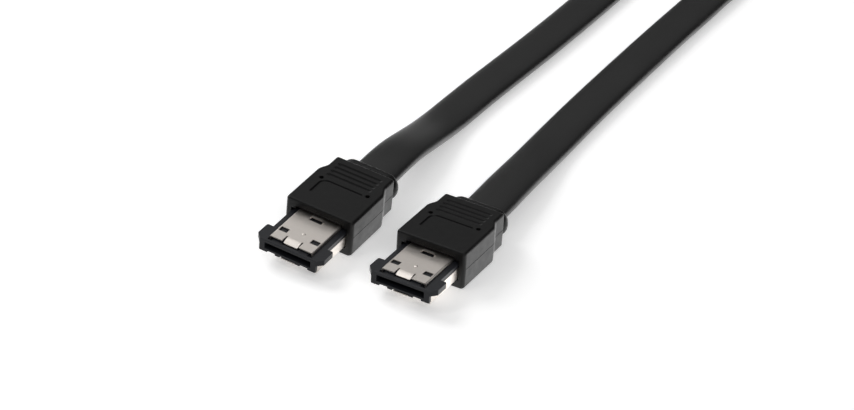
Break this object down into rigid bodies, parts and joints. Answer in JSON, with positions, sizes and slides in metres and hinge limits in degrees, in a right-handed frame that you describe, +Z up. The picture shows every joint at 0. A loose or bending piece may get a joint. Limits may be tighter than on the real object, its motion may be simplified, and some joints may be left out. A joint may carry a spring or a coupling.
{
  "type": "esata cable",
  "caption": "Flat shielded data cable with a rectangular metal-topped plug moulded on each end, its spare length folded into a strapped hank behind the plugs.",
  "frame": {"origin": "centre of the two plugs together, on the surface that the cable lies on", "axes": "+X across both plugs, +Y from the plugs' noses towards the cable, +Z up from the surface"},
  "size_m": [0.062, 0.3546, 0.0117],
  "materials": {
    "overmould": "satin black moulded vinyl",
    "nose": "semi-gloss black moulded plastic",
    "shield": "satin nickel-plated steel sheet",
    "contact": "gold-plated",
    "inner_block": "natural moulded polyethylene",
    "ferrule": "bare crimped metal band",
    "wire": "coloured wire insulation",
    "jacket": "satin black flexible vinyl jacket",
    "strap": "black woven hook-and-loop strap"
  },
  "bodies": {
    "root": {"overmould_a": "overmould", "insulator_a": "nose", "shield_plate_a": "shield", "shield_shell_a": "shield", "inner_block_a": "inner_block", "ferrule_a": "ferrule", "contact_a_1": "contact", "contact_a_2": "contact", "contact_a_3": "contact", "contact_a_4": "contact", "contact_a_5": "contact", "contact_a_6": "contact", "contact_a_7": "contact", "wire_a_1": "wire", "wire_a_2": "wire", "wire_a_3": "wire", "wire_a_4": "wire", "overmould_b": "overmould", "insulator_b": "nose", "shield_plate_b": "shield", "shield_shell_b": "shield", "inner_block_b": "inner_block", "ferrule_b": "ferrule", "contact_b_1": "contact", "contact_b_2": "contact", "contact_b_3": "contact", "contact_b_4": "contact", "contact_b_5": "contact", "contact_b_6": "contact", "contact_b_7": "contact", "wire_b_1": "wire", "wire_b_2": "wire", "wire_b_3": "wire", "wire_b_4": "wire", "cable_run_a": "jacket", "cable_run_b": "jacket", "cable_hank": "jacket", "cable_strap": "strap"}
  },
  "joints": []
}
